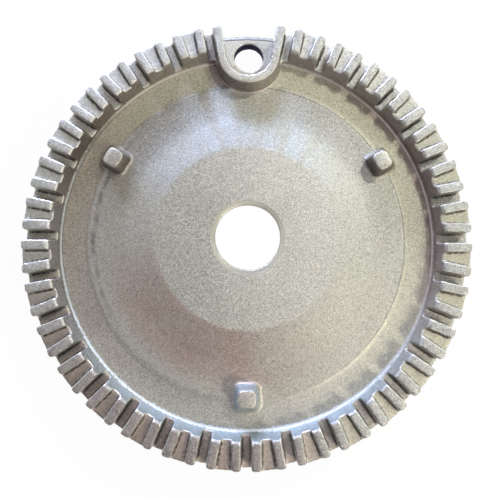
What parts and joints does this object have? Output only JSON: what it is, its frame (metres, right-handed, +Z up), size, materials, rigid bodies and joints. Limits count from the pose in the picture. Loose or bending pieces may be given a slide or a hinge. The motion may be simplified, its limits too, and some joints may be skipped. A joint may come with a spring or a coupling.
{
  "type": "gas hob burner head",
  "caption": "Round die-cast aluminium gas burner head with a slotted and ribbed rim, a dished top with pegs, a central throat and a recess for the spark electrode.",
  "frame": {"origin": "centre of the throat's axis at the lower edge of the locating skirt, which is the face the head stands on", "axes": "+Z up along the throat's axis towards the slots, +Y towards the electrode recess, +X to the right with the recess at the back"},
  "size_m": [0.1, 0.1, 0.0133],
  "materials": {
    "cast_aluminium": "dull as-cast grain, a little stained, with brighter worn edges"
  },
  "bodies": {
    "root": {"burner_head": "cast_aluminium"}
  },
  "joints": []
}
